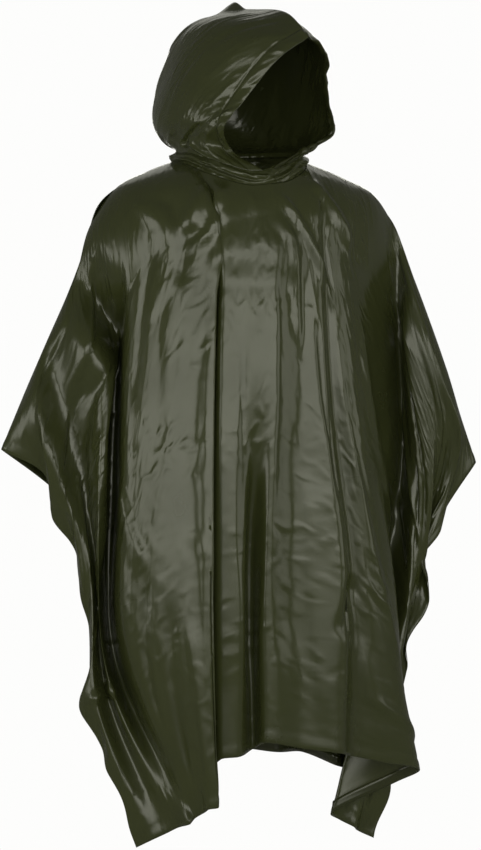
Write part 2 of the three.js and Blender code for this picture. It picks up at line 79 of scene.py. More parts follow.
# Folds of the panels, from the poncho's right edge to the left one: place across the cut, then x
# and y at the chest, waist and hip, and x, y, z at the hem
FOLDS = {
    "front": (
        (-715, (-335, -25), (-278, -30), (-276, -80), (-209, -100, -1131)),
        (-600, (-355, -60), (-281, -60), (-272, -95), (-187, -120, -1116)),
        (-540, (-312, -25), (-268, -45), (-251, -60), (-167, -130, -1105)),
        (-470, (-255, -80), (-271, -100), (-252, -80), (-149, -145, -1093)),
        (-395, (-216, -5), (-224, 0), (-229, -26), (-136, -176, -1082)),
        (-315, (-219, -80), (-232, -120), (-231, -140), (-126, -168, -1075)),
        (-230, (-186, -105), (-195, -145), (-188, -170), (-115, -183, -1064)),
        (-165, (-132, -135), (-145, -160), (-140, -190), (-111, -199, -1056)),
        (-120, (-82, -150), (-97, -182), (-103, -203), (-95, -203, -1053)),
        (-105, (-76, -141), (-96, -142), (-104, -142), (-100, -124, -1039)),
        (-90, (-70, -151), (-86, -178), (-93, -184), (-90, -186, -978)),
        (-65, (-48, -156), (-56, -184), (-54, -196), (-58, -194, -973)),
        (-30, (-18, -159), (-26, -188), (-28, -152), (-24, -150, -968)),
        (2, (16, -161), (2, -189), (-7, -191), (-12, -192, -952)),
        (56, (57, -150), (51, -172), (56, -180), (54, -186, -965)),
        (100, (88, -146), (97, -172), (124, -186), (118, -190, -975)),
        (120, (100, -134), (114, -146), (149, -150), (148, -150, -986)),
        (145, (114, -132), (134, -148), (175, -152), (213, -135, -1002)),
        (185, (138, -122), (157, -146), (214, -130), (290, -85, -1025)),
        (240, (176, -92), (200, -105), (250, -85), (262, -40, -1051)),
        (320, (274, 0), (290, 20), (232, 8), (156, -10, -1105)),
        (400, (273, -50), (295, -40), (262, -50), (176, 12, -1121)),
        (480, (319, -60), (321, -45), (272, 4), (199, -2, -1133)),
        (600, (377, -40), (300, -2), (256, -34), (215, 22, -1145)),
        (745, (362, -15), (308, -32), (276, 14), (239, 14, -1156)),
    ),
    "back": (
        (-715, (-315, 40), (-250, 55), (-232, 70), (-160, 60, -1098)),
        (-610, (-322, 75), (-245, 90), (-222, 100), (-138, 95, -1090)),
        (-520, (-282, 65), (-236, 70), (-205, 80), (-150, 120, -1080)),
        (-430, (-212, 30), (-205, 35), (-190, 50), (-165, 95, -1068)),
        (-350, (-200, 85), (-205, 110), (-205, 120), (-185, 120, -1060)),
        (-270, (-150, 128), (-165, 130), (-175, 150), (-180, 165, -1050)),
        (-190, (-112, 132), (-122, 118), (-128, 112), (-125, 110, -1040)),
        (-110, (-66, 140), (-78, 150), (-84, 168), (-84, 172, -1030)),
        (-30, (-18, 138), (-20, 128), (-24, 120), (-26, 116, -1020)),
        (50, (32, 142), (34, 154), (36, 170), (36, 176, -1015)),
        (130, (80, 136), (84, 126), (88, 116), (92, 112, -1015)),
        (215, (134, 130), (142, 142), (152, 158), (156, 164, -1025)),
        (300, (190, 92), (196, 96), (200, 92), (196, 90, -1040)),
        (370, (236, 78), (238, 98), (234, 110), (222, 118, -1052)),
        (450, (256, 22), (252, 30), (236, 45), (206, 80, -1070)),
        (540, (318, 60), (290, 62), (256, 72), (200, 70, -1085)),
        (640, (372, 62), (308, 75), (268, 88), (214, 92, -1098)),
        (745, (360, 30), (308, 45), (270, 60), (232, 62, -1110)),
    ),
}

# How far in from a side edge its waves reach
WAVE_REACH = 130.0

# Waves of the side edges: edge, distance down, swing along x and y, half their length
WAVES = {
    "front": (
        (-715, 120, 22, -4, 80), (-715, 250, -11, 6, 60), (-715, 340, 8, 4, 60),
        (-715, 460, -9, -12, 80), (-715, 735, -18, 6, 80), (-715, 850, 8, 6, 60),
        (-715, 970, 8, -6, 100), (745, 331, -25, -8, 80), (745, 459, 12, 6, 70),
        (745, 565, -14, -4, 80), (745, 760, 4, 10, 90), (745, 976, 14, -4, 110),
    ),
    "back": (
        (-715, 300, 10, 12, 90), (-715, 470, 6, -12, 90), (-715, 700, 12, 12, 110),
        (745, 260, -14, 10, 80), (745, 430, 6, -12, 90), (745, 640, -14, 12, 100),
        (745, 880, 8, -10, 110),
    ),
}

# Gathered band between the neck opening and the hood
BAND_HEIGHT_SIDE = 14.0
BAND_HEIGHT_FRONT = 27.0
BAND_SEAT = 0.8
BAND_LEAN = 8.0
BAND_PUFF = 4.0
THROAT_DIP = 0.16
THROAT_STEPS = 3
NECK_STEPS = 24

# Hood: half-hoops from its foot over the side to the seam on top, each at an angle round the neck
# from the throat, with five points up the side as forward, outward and up
HOOD_TURN = 25.0
HOOD_TURN_END = 0.36
HOOD_BLEND = 1 / 12
HOOPS = (
    (0, (91, 61, 20), (103, 116, 56), (115, 95, 98), (150, 49, 168), (170, 0, 206)),
    (35, (72, 100, 34), (56, 130, 66), (62, 122, 124), (104, 78, 206), (114, 0, 250)),
    (80, (8, 118, 42), (-2, 136, 74), (4, 126, 152), (26, 84, 234), (34, 0, 264)),
    (115, (-58, 116, 42), (-66, 128, 74), (-60, 114, 150), (-50, 78, 234), (-44, 0, 268)),
    (150, (-108, 84, 40), (-124, 94, 74), (-124, 84, 138), (-114, 52, 220), (-106, 0, 256)),
    (180, (-122, 0, 44), (-152, 0, 84), (-158, 0, 134), (-152, 0, 184), (-138, 0, 224)),
)
HOOP_PLACES = np.array([0, 0.14, 0.32, 0.56, 0.8, 1])
HOOP_ROUNDS = np.array([hoop[0] for hoop in HOOPS], float)

# Tuck of film that stands up where the hood's seam is gathered on the crown
TUCK_ROUND = 105.0
TUCK_HALF_ROUND = 15.0
TUCK_HEIGHT = 13.0
TUCK_HALF_RISE = 0.08


def bell(distance):
    """One at the middle and zero from one half-length away."""
    return 0.5 + 0.5 * np.cos(np.pi * np.minimum(np.abs(distance), 1))


def catmull_rom(before, start, end, after, share):
    """Centripetal curve between start and end, at a share of the way."""
    def knot(a, b):
        return np.maximum(np.sum((b - a) ** 2, axis=-1, keepdims=True), 1e-8) ** 0.25

    first, middle, last = knot(before, start), knot(start, end), knot(end, after)
    leave = (start - before) / first - (end - before) / (first + middle) + (end - start) / middle
    arrive = (end - start) / middle - (after - start) / (middle + last) + (after - end) / last
    leave, arrive = leave * middle, arrive * middle
    t = share[..., None]
    rise = end - start
    square = 3 * rise - 2 * leave - arrive
    cube = leave + arrive - 2 * rise
    return start + leave * t + square * t**2 + cube * t**3


def along_curve(points, place):
    """Points of a curve through points[..., k, :], at places counted in points from zero."""
    last = points.shape[-2] - 1
    low = np.clip(np.floor(place).astype(int), 0, last - 1)

    def pick(k):
        index = np.broadcast_to(k[..., None, None], (*low.shape, 1, 3))
        return np.take_along_axis(points, index, axis=-2)[..., 0, :]

    start, end = pick(low), pick(low + 1)
    before = np.where((low == 0)[..., None], 2 * start - end, pick(np.maximum(low - 1, 0)))
    after = np.where((low == last - 1)[..., None], 2 * end - start, pick(np.minimum(low + 2, last)))
    return catmull_rom(before, start, end, after, place - low)


def shoulder_point(across):
    """Point of the shoulder line at one distance across the cut."""
    table = np.array(SHOULDER["right" if across < 0 else "left"], float)
    step = abs(across) / SHOULDER_STEPS
    middles = (np.arange(SHOULDER_STEPS) + 0.5) * step
    slope = np.radians(np.interp(middles, table[:, 0], table[:, 1]))
    x = math.copysign(1, across) * step * np.sum(np.cos(slope))
    return x, 0.0, SHOULDER_HEIGHT - step * np.sum(np.sin(slope))


def through_levels(values, fold, down):
    """Smooth curve through each fold's values at the four levels."""
    slopes = np.empty_like(values)
    slopes[:, 0] = (values[:, 1] - values[:, 0]) / (LEVELS[1] - LEVELS[0])
    slopes[:, 1:3] = (values[:, 2:] - values[:, :2]) / (LEVELS[2:] - LEVELS[:2])
    slopes[:, 3] = (values[:, 3] - values[:, 2]) / (LEVELS[3] - LEVELS[2])
    low = np.clip(np.searchsorted(LEVELS, down, side="right") - 1, 0, 2)
    span = LEVELS[low + 1] - LEVELS[low]
    t = (down - LEVELS[low]) / span
    start = values[fold, low]
    rise = values[fold, low + 1] - start
    start_bend = slopes[fold, low] * span - rise
    end_bend = rise - slopes[fold, low + 1] * span
    return start + rise * t + t * (1 - t) * (start_bend * (1 - t) + end_bend * t)


def fold_points(side, down):
    """Points of all the folds of a panel, at each distance down the cloth."""
    folds = FOLDS[side]
    top = np.array([shoulder_point(row[0]) for row in folds])
    levels = np.array([[row[1], row[2], row[3], row[4][:2]] for row in folds], float)
    foot = np.array([row[4][2] for row in folds], float)
    fold = np.arange(len(folds))
    down = down[..., None] + 0 * fold
    turn_rise = CHEST / (math.pi / 2)
    chest_share = turn_rise / (HEM - CHEST + turn_rise)
    turn = np.minimum(down / CHEST, 1) * (math.pi / 2)
    over = chest_share * (1 - np.cos(turn))
    below = chest_share + (1 - chest_share) * (down - CHEST) / (HEM - CHEST)
    share = np.where(down < CHEST, over, below)
    spread = 0.5 * (1 - np.cos(turn)) + turn / math.pi * np.sin(turn)
    safe = np.maximum(down, CHEST)
    x_high = top[:, 0] + (levels[:, 0, 0] - top[:, 0]) * spread
    x = np.where(down < CHEST, x_high, through_levels(levels[:, :, 0], fold, safe))
    y_high = levels[:, 0, 1] * np.sin(turn)
    y = np.where(down < CHEST, y_high, through_levels(levels[:, :, 1], fold, safe))
    z = top[:, 2] + (foot - top[:, 2]) * share
    return np.stack([x, y, z], axis=-1)


def cloth_points(side, across, down):
    """Points of a body panel's outer face."""
    places = np.array([row[0] for row in FOLDS[side]], float)
    place = np.interp(across, places, np.arange(len(places)))
    points = along_curve(fold_points(side, down), place)
    for edge, middle, x, y, half in WAVES[side]:
        size = bell((down - middle) / half) * bell((across - edge) / WAVE_REACH)
        points[..., 0] += x * size
        points[..., 1] += y * size
    points[..., 1] += FACING[side] * SEAM_GAP / 2
    return points


def neck_edge(side, across):
    """Distance down the cloth where the neck opening ends."""
    share = np.minimum(np.abs(across - NECK_MIDDLE) / NECK_HALF_WIDTH, 1)
    return NECK_DEPTH[side] * np.sqrt(1 - share**2)


def neck_point(step):
    """Point of the neck opening, at a step round from the throat by the poncho's left."""
    angle = np.radians(np.asarray(step, float) * 360 / NECK_STEPS)
    across = NECK_MIDDLE + NECK_HALF_WIDTH * np.sin(angle)
    front = cloth_points("front", across, NECK_DEPTH["front"] * np.abs(np.cos(angle)))
    back = cloth_points("back", across, NECK_DEPTH["back"] * np.abs(np.cos(angle)))
    return np.where((np.cos(angle) > 0)[..., None], front, back)


NECK_CENTRE = neck_point(np.arange(NECK_STEPS)).mean(axis=0)


def band_point(step, rise):
    """Point of the gathered band, at a step round the neck and a share of its height."""
    point = neck_point(step)
    outward = point - NECK_CENTRE
    outward[..., 2] = 0
    outward /= np.linalg.norm(outward, axis=-1, keepdims=True)
    height = BAND_HEIGHT_SIDE + (BAND_HEIGHT_FRONT - BAND_HEIGHT_SIDE) * np.abs(outward[..., 1])
    past_throat = np.asarray(step, float) % NECK_STEPS
    from_throat = np.minimum(past_throat, NECK_STEPS - past_throat) / THROAT_STEPS
    height = height * (1 - THROAT_DIP * np.maximum(1 - from_throat, 0))
    fullness = np.sin(np.pi * rise)
    point = point + outward * (fullness * BAND_PUFF - BAND_LEAN * rise - SEAM_GAP)[..., None]
    point[..., 2] += BAND_SEAT + height * rise
    return point, outward


# Foot of a piece, turned in behind the piece below it: how far in and how far down, in mm
TUCKED_IN = ((1.2, 2.0), (2.4, 4.5), (3.0, 8.0))


def with_tucked_foot(points, *places):
    """The grid with a foot added that turns in towards the neck, and its places in the cut."""
    inward = NECK_CENTRE - points[-1:]
    inward[..., 2] = 0
    inward /= np.linalg.norm(inward, axis=-1, keepdims=True)
    foot = [points[-1:] + inward * depth - np.array([0, 0, drop]) for depth, drop in TUCKED_IN]
    longer = [np.concatenate([rows, *[rows[-1:]] * len(TUCKED_IN)]) for rows in places]
    return np.concatenate([points, *foot]), longer


def hood_points(side, around, rise):
    """Points of one side of the hood, at an angle round the neck and a share up the hoops."""
    steps = HOOP_ROUNDS / 360 * NECK_STEPS
    starts = band_point(side * steps, np.ones(len(HOOPS)))[0]
    starts[:, 2] += SEAM_GAP
    controls = np.empty((len(HOOPS), len(HOOP_PLACES), 3))
    controls[:, 0] = starts
    for k in range(1, len(HOOP_PLACES)):
        turn = math.radians(HOOD_TURN * min(HOOP_PLACES[k] / HOOD_TURN_END, 1))
        for i, hoop in enumerate(HOOPS):
            forward, outward, up = hoop[k]
            x, y = side * outward, -forward
            controls[i, k] = (
                x * math.cos(turn) - y * math.sin(turn),
                x * math.sin(turn) + y * math.cos(turn),
                up,
            )
    along = np.interp(rise, HOOP_PLACES, np.arange(len(HOOP_PLACES)))
    reach = np.interp(around, HOOP_ROUNDS, np.arange(len(HOOPS)))
    arches = np.stack([
        along_curve(np.broadcast_to(hoop, (*along.shape, *hoop.shape)), along) for hoop in controls
    ], axis=-2)
    points = along_curve(arches, reach)
    base = along_curve(np.broadcast_to(starts, (*reach.shape, *starts.shape)), reach)
    ring = band_point(side * around / 360 * NECK_STEPS, np.ones_like(around))[0]
    ring[..., 2] += SEAM_GAP
    points += (ring - base) * np.maximum(1 - rise / HOOD_BLEND, 0)[..., None]
    tuck = bell((around - TUCK_ROUND) / TUCK_HALF_ROUND) * bell((1 - rise) / TUCK_HALF_RISE)
    points[..., 2] += TUCK_HEIGHT * tuck
    turn = math.radians(HOOD_TURN)
    points += side * SEAM_GAP / 2 * np.array([math.cos(turn), math.sin(turn), 0])
    return points


def outward_normals(grid):
    """Unit normals of a grid of points whose rows run down and columns run to the poncho's left."""
    down = np.gradient(grid, axis=0)
    across = np.gradient(grid, axis=1)
    normal = np.cross(down, across)
    return normal / np.maximum(np.linalg.norm(normal, axis=-1, keepdims=True), 1e-9)


# Share of a crease's length over which each of its ends fades out
CREASE_FADE = 0.22


def crease_relief(u, v, creases):
    """Height of all the creases at the points u, v of the cloth. Each crease has its line in cloth
    coordinates, full width and height in mm (below zero for a valley), lean from -1 to 1 for a
    steep right or left side, and sharpness from 0 to 1."""
    relief = np.zeros_like(u)
    for points, width, height, lean, sharp in creases:
        line = np.array(points, float)
        legs = np.linalg.norm(np.diff(line, axis=0), axis=1)
        total = legs.sum()
        best = np.full_like(u, np.inf)
        signed = np.zeros_like(u)
        share = np.zeros_like(u)
        passed = 0.0
        for start, end, leg in zip(line[:-1], line[1:], legs):
            tu, tv = (end - start) / leg
            du, dv = u - start[0], v - start[1]
            along = np.clip(du * tu + dv * tv, 0, leg)
            off = np.hypot(du - along * tu, dv - along * tv)
            near = off < best
            best = np.where(near, off, best)
            signed = np.where(near, du * tv - dv * tu, signed)
            share = np.where(near, (passed + along) / total, share)
            passed += leg
        half = width / 2 * np.where(signed > 0, 1 + lean, 1 - lean)
        off = np.minimum(best / half, 1)
        shape = sharp * (1 - off) + (1 - sharp) * bell(off)
        fade = np.clip(np.minimum(share, 1 - share) / CREASE_FADE, 0, 1)
        relief += height * shape * fade * fade * (3 - 2 * fade)
    return relief


# Cells along each side of a table of noise, before it repeats
NOISE_CELLS = 64


def soft_noise(u, v, cell_u, cell_v, seed, folded=False):
    """Even noise between -1 and 1, with its own cell length along each direction; smooth, or with
    sharp creases that run along v."""
    draw = np.random.default_rng(seed)
    table = draw.uniform(-1, 1, (NOISE_CELLS, NOISE_CELLS))
    low_u, low_v = np.floor(u / cell_u).astype(int), np.floor(v / cell_v).astype(int)
    t, w = u / cell_u - low_u, v / cell_v - low_v
    if not folded:
        t = t * t * (3 - 2 * t)
    w = w * w * (3 - 2 * w)

    def at(i, j):
        return table[(low_u + i) % NOISE_CELLS, (low_v + j) % NOISE_CELLS]

    near = at(0, 0) * (1 - t) + at(1, 0) * t
    far = at(0, 1) * (1 - t) + at(1, 1) * t
    return near * (1 - w) + far * w


# Scattered creases: spread of their headings in degrees, and the most that one bends
SCATTER_TURN = 24.0
SCATTER_BEND = 0.2


def scattered(seed, count, area, lengths, widths, heights, heading):
    """Short fine creases strewn over an area of cloth, with headings in degrees from straight
    down, each from its own seeded draw."""
    draw = np.random.default_rng(seed)
    rows = []
    for _ in range(count):
        u = draw.uniform(area[0], area[1])
        v = draw.uniform(area[2], area[3])
        angle = math.radians(heading(u, v) + draw.normal(0, SCATTER_TURN))
        half = draw.uniform(*lengths) / 2
        du, dv = half * math.sin(angle), half * math.cos(angle)
        bend = draw.uniform(-SCATTER_BEND, SCATTER_BEND)
        line = [(u - du, v - dv), (u + bend * dv, v - bend * du), (u + du, v + dv)]
        height = draw.uniform(*heights) * draw.choice([-1, 1, 1])
        rows.append((line, draw.uniform(*widths), height, draw.uniform(-0.5, 0.5), 1.0))
    return rows


# Creases of the body panels, in mm across the cut and down from the shoulder line:
# line, width, height, lean, sharpness
CREASES = {
    "front": [
        # Shoulder and chest on the poncho's right
        (((-196, 90), (-176, 122), (-170, 160), (-172, 205), (-177, 268)), 40, -7, 0.3, 0.7),
        (((-236, 84), (-218, 110), (-196, 150), (-194, 225)), 40, 4, 0.0, 0.4),
        (((-88, 108), (-126, 124), (-152, 150), (-170, 182)), 44, 7, 0.4, 0.8),
        (((-134, 178), (-150, 202), (-162, 250)), 28, 4, 0.3, 0.8),
        (((-104, 122), (-118, 150), (-124, 196), (-118, 262)), 34, 4, -0.3, 0.6),
        (((-211, 96), (-224, 154), (-255, 270), (-287, 420)), 52, -5, 0.2, 0.3),
        (((-188, 250), (-216, 300), (-214, 420), (-222, 560)), 46, -3.5, 0.2, 0.2),
        (((-138, 225), (-140, 347), (-146, 463), (-150, 620), (-149, 716), (-146, 930)),
         34, -3, -0.4, 0.4),
        (((-152, 536), (-136, 604)), 20, 1.5, -0.3, 1.0),
        (((-154, 652), (-132, 706)), 22, 2, -0.4, 1.0),
        (((-82, 112), (-92, 150), (-104, 200), (-112, 262)), 40, 7, 0.0, 0.4),
        (((-70, 118), (-96, 150), (-140, 186), (-172, 214)), 26, 5, 0.3, 0.9),
        # Foot of the chest, above the large pleat
        (((-330, 505), (-278, 628), (-240, 700)), 46, 6, -0.5, 0.5),
        (((-240, 690), (-248, 744), (-266, 820), (-290, 960)), 30, -6, -0.4, 0.6),
        (((-200, 740), (-223, 915), (-262, 1066)), 44, -5, 0.3, 0.3),
        (((-168, 780), (-162, 957), (-157, 1085)), 36, 4, 0.3, 0.4),
        (((-126, 700), (-128, 860), (-122, 1070)), 30, -3.5, 0.2, 0.4),
        # Middle of the front
        (((-54, 320), (-56, 497), (-63, 652), (-65, 754), (-62, 850)), 16, -4.5, 0.2, 0.8),
        (((-27, 596), (-31, 640), (-36, 735), (-43, 830), (-43, 1009)), 28, -7, 0.3, 0.6),
        (((-12, 160), (0, 236), (2, 300), (10, 400), (12, 543), (6, 669), (4, 772), (-2, 921),
          (0, 1085)), 26, 4, -0.6, 0.7),
        (((-150, 236), (-90, 240), (-30, 250), (40, 262), (90, 270)), 170, 9, 0.3, 0.1),
        (((-36, 140), (-30, 190), (-26, 262)), 40, 4, 0.2, 0.5),
        (((-8, 180), (34, 229), (50, 310), (54, 420)), 32, 6, -0.3, 0.8),
        (((2, 144), (40, 178), (71, 209), (112, 262), (147, 330)), 34, 7, -0.4, 0.8),
        (((80, 100), (146, 140), (190, 166), (216, 200)), 36, 7, -0.3, 0.8),
        (((30, 500), (33, 677), (32, 851), (40, 990)), 60, -5, 0.0, 0.2),
        (((64, 600), (62, 776), (70, 927), (78, 1088)), 34, 4, 0.4, 0.5),
        (((88, 330), (94, 492), (102, 569), (104, 690)), 24, -6, 0.3, 0.7),
        (((118, 786), (106, 850), (94, 905)), 30, -7, 0.0, 0.8),
        (((140, 780), (164, 800), (190, 816)), 18, 4, 0.0, 1.0),
        (((146, 300), (147, 460), (164, 615), (172, 720), (190, 830), (206, 960)),
         40, 5, -0.2, 0.6),
        (((122, 880), (138, 993), (232, 1068)), 30, 5, 0.3, 0.7),
        (((226, 260), (236, 420), (262, 560), (300, 690)), 36, 5, 0.0, 0.5),
        # Cloth over the right arm
        (((-268, 100), (-319, 157), (-365, 190), (-402, 270), (-406, 480), (-398, 700)),
         52, -12, 0.0, 0.6),
        (((-353, 158), (-400, 190), (-446, 216), (-464, 318), (-450, 450), (-442, 640)),
         34, 8, 0.0, 0.3),
        (((-330, 60), (-404, 100), (-470, 132), (-512, 160), (-560, 240), (-590, 300)),
         60, 9, -0.6, 0.9),
        (((-400, 24), (-480, 60), (-560, 84), (-650, 96)), 40, -4, 0.4, 0.8),
        (((-440, 176), (-494, 205), (-524, 300), (-540, 420)), 40, -5, 0.0, 0.8),
        (((-540, 300), (-572, 420), (-600, 520)), 30, 4, -0.3, 1.0),
        (((-600, 330), (-640, 430), (-680, 500)), 26, 3.5, -0.3, 1.0),
        (((-480, 480), (-520, 590), (-600, 690)), 34, 4, 0.3, 1.0),
        (((-674, 748), (-590, 783), (-430, 850)), 34, 6, 0.3, 1.0),
        # Cloth over the left arm
        (((300, 60), (420, 110), (520, 170), (640, 200)), 44, 7, -0.2, 0.8),
        (((322, 350), (359, 438), (411, 534), (448, 562)), 28, 7, 0.0, 0.8),
        (((392, 121), (470, 180), (517, 241), (540, 330)), 36, 6, 0.3, 0.8),
        (((254, 440), (278, 527), (338, 582), (379, 653)), 50, -6, 0.0, 0.4),
        (((318, 170), (352, 250), (392, 360), (412, 500), (420, 640)), 34, -9, -0.4, 0.7),
        (((372, 190), (404, 300), (440, 420), (452, 560)), 28, -8, -0.4, 0.8),
        (((560, 210), (600, 300), (590, 420)), 34, -6, 0.3, 0.8),
        (((640, 240), (660, 330), (650, 450)), 30, 5, -0.3, 0.8),
        (((480, 500), (560, 640), (640, 720)), 40, 6, 0.2, 0.7),
        (((360, 700), (420, 860), (520, 1000)), 50, 6, 0.2, 0.4),
        (((600, 760), (620, 900), (610, 1060)), 44, -6, 0.2, 0.5),
    ],
    "back": [
        # Across the shoulder blades
        (((-205, 26), (-250, 24), (-290, 26), (-335, 34)), 48, -16, 0.0, 0.2),
        (((-96, 84), (-170, 120), (-220, 190), (-236, 290)), 46, 6, 0.3, 0.7),
        (((-60, 92), (-86, 160), (-96, 260), (-92, 380)), 36, -6, 0.3, 0.6),
        (((-16, 90), (-12, 170), (-22, 300), (-30, 520)), 40, 5, -0.3, 0.5),
        (((34, 86), (52, 150), (62, 260), (58, 450)), 32, -5, 0.2, 0.7),
        (((76, 72), (140, 110), (190, 180), (214, 290)), 44, 7, -0.3, 0.8),
        (((110, 50), (220, 70), (320, 130), (372, 230)), 42, -6, 0.2, 0.6),
        (((-120, 60), (-230, 66), (-330, 120), (-400, 210)), 40, 6, 0.2, 0.6),
        (((-200, 250), (-176, 290), (-120, 318)), 24, 4, 0.0, 1.0),
        (((150, 300), (110, 336), (48, 350)), 22, 4, 0.0, 1.0),
        # Down the skirt
        (((-300, 330), (-316, 520), (-300, 760), (-318, 1000)), 52, -6, 0.2, 0.3),
        (((-232, 420), (-214, 640), (-226, 900), (-222, 1088)), 34, 6, 0.4, 0.6),
        (((-150, 360), (-146, 620), (-156, 860)), 44, -5, -0.3, 0.4),
        (((-70, 480), (-58, 700), (-70, 960), (-62, 1090)), 32, 5, -0.4, 0.7),
        (((10, 420), (20, 640), (4, 900), (12, 1080)), 26, -5, 0.2, 0.7),
        (((92, 380), (84, 640), (100, 870), (90, 1085)), 40, 5, 0.3, 0.5),
        (((170, 320), (184, 560), (176, 800)), 30, -6, -0.3, 0.6),
        (((250, 330), (262, 600), (250, 860), (266, 1080)), 46, 6, 0.2, 0.5),
        (((-30, 640), (10, 690), (34, 760)), 22, 4, 0.0, 1.0),
        (((200, 820), (160, 880), (110, 910)), 24, 4, 0.0, 1.0),
        (((-280, 760), (-240, 820), (-190, 850)), 22, 4, 0.0, 1.0),
        # Cloth over the arms
        (((-330, 60), (-450, 110), (-560, 170), (-650, 260)), 48, 7, 0.2, 0.7),
        (((-420, 240), (-500, 400), (-560, 600), (-640, 760)), 46, -6, 0.2, 0.6),
        (((-600, 300), (-620, 460), (-600, 620)), 34, 5, 0.3, 0.8),
        (((-480, 700), (-520, 880), (-500, 1080)), 48, 6, 0.0, 0.5),
        (((330, 70), (460, 120), (560, 190), (660, 300)), 46, 7, -0.2, 0.7),
        (((430, 250), (490, 420), (560, 620), (650, 780)), 44, -6, -0.2, 0.6),
        (((610, 330), (630, 480), (600, 640)), 32, 5, -0.3, 0.8),
        (((500, 720), (560, 880), (580, 1070)), 50, 6, 0.2, 0.5),
    ],
}

# Where short crinkles gather: how many, and from and to across the cut and down it
CRINKLED_AREAS = (
    (70, (-700, 730, 10, 1090)),
    (40, (-715, -470, 60, 700)),
    (50, (330, 745, 60, 700)),
    (30, (-200, 200, 110, 250)),
    (30, (-330, -120, 560, 780)),
    (30, (-320, 320, 900, 1090)),
)

# Length, width and height of the short crinkles, each from and to in mm
CRINKLE_SIZES = ((26, 120), (10, 22), (0.2, 0.8))

# First of the seeds that each panel's crinkles and noise are drawn with
PANEL_SEEDS = {"front": 11, "back": 23}

# The folds fan out from a point above the neck. Its height, and the distance at which the fan is
# measured
FAN_RISE = 420.0
FAN_REACH = 700.0

# Crinkles head away from a nearer point, by a share of the whole turn
HEADING_RISE = 160.0
HEADING_SHARE = 0.8

# Small folds along the fan: height, cells across the fan and down it, and the step of the seed
FAN_WARP = 7.0
FAN_FOLDS = ((0.35, 37, 480, 0), (0.18, 16, 300, 1))

# Distances over which creases fade in below the shoulder line, and flatten towards the edges, and
# the share of their height that they keep there
SHOULDER_FADE = 45.0
EDGE_FADE = 40.0
EDGE_LEAST = 0.25

# Depth and half the width of the groove of the weld, and swell of the doubled film outside it
WELD_GROOVE = 0.9
WELD_HALF_WIDTH = 4.0
HEM_SWELL = 0.5

# Mesh of a panel: columns on the right and the left of the neck, degrees from column to column
# round the neck, and rows, which stand closer near the neck
RIGHT_COLUMNS = 96
LEFT_COLUMNS = 100
NECK_TURN = 3
PANEL_ROWS = 184
ROW_BUNCHING = 1.15


def fan_place(across, down):
    """Place across the fan of folds that opens from the neck, in mm."""
    return np.arctan2(across - NECK_MIDDLE, down + FAN_RISE) * FAN_REACH


def fan_heading(u, v):
    """Heading of a crinkle: it fans out from the neck, and straightens down the skirt."""
    return math.degrees(math.atan2(u - NECK_MIDDLE, v + HEADING_RISE)) * HEADING_SHARE


def edge_distance(side, across, down):
    """Distance from each point of a panel to the nearest of its side edges and bottom edge."""
    right, left = FOLDS[side][0][0], FOLDS[side][-1][0]
    return np.minimum(np.minimum(left - across, across - right), HEM - down)


def panel_relief(side, across, down):
    """Height of the cloth's own creases above a panel's smooth folds."""
    seed = PANEL_SEEDS[side]
    fine = []
    for step, (count, area) in enumerate(CRINKLED_AREAS):
        fine += scattered(seed + step, count, area, *CRINKLE_SIZES, fan_heading)
    relief = crease_relief(across, down, CREASES[side] + fine)
    fan = fan_place(across, down) + FAN_WARP * soft_noise(across, down, 90, 420, seed + 3)
    for height, cell_across, cell_down, step in FAN_FOLDS:
        relief += height * soft_noise(fan, down, cell_across, cell_down, seed + step, folded=True)
    relief += 0.5 * soft_noise(across, down, 120, 190, seed + 2)
    to_edge = edge_distance(side, across, down)
    relief *= np.clip(down / SHOULDER_FADE, 0, 1) * np.clip(to_edge / EDGE_FADE, EDGE_LEAST, 1)
    groove = WELD_GROOVE * bell((to_edge - HEM_WIDTH) / WELD_HALF_WIDTH)
    swell = HEM_SWELL * bell((to_edge - HEM_WIDTH / 2) / (HEM_WIDTH / 2))
    return relief + (swell - groove)


def panel_places(side):
    """Columns across the cut: even steps round the neck, then even distances to the edges."""
    angle = np.radians(np.arange(-90, 90.1, NECK_TURN))
    neck = NECK_MIDDLE + NECK_HALF_WIDTH * np.sin(angle)
    first, last = FOLDS[side][0][0], FOLDS[side][-1][0]
    right = np.linspace(first, neck[0], RIGHT_COLUMNS)[:-1]
    left = np.linspace(neck[-1], last, LEFT_COLUMNS)[1:]
    return np.concatenate([right, neck, left])


PANEL_GRIDS = {}


def panel_grid(side):
    """Outer face of a body panel, with its creases, and its outward normals; worked out once."""
    if side in PANEL_GRIDS:
        return PANEL_GRIDS[side]
    across = panel_places(side)
    share = np.linspace(0, 1, PANEL_ROWS) ** ROW_BUNCHING
    top = neck_edge(side, across)
    down = top + (HEM - top) * share[:, None]
    across = np.broadcast_to(across, down.shape)
    points = cloth_points(side, across, down)
    normals = outward_normals(points) * -FACING[side]
    points = points + normals * panel_relief(side, across, down)[..., None]
    PANEL_GRIDS[side] = (points, outward_normals(points) * -FACING[side], across, down)
    return PANEL_GRIDS[side]


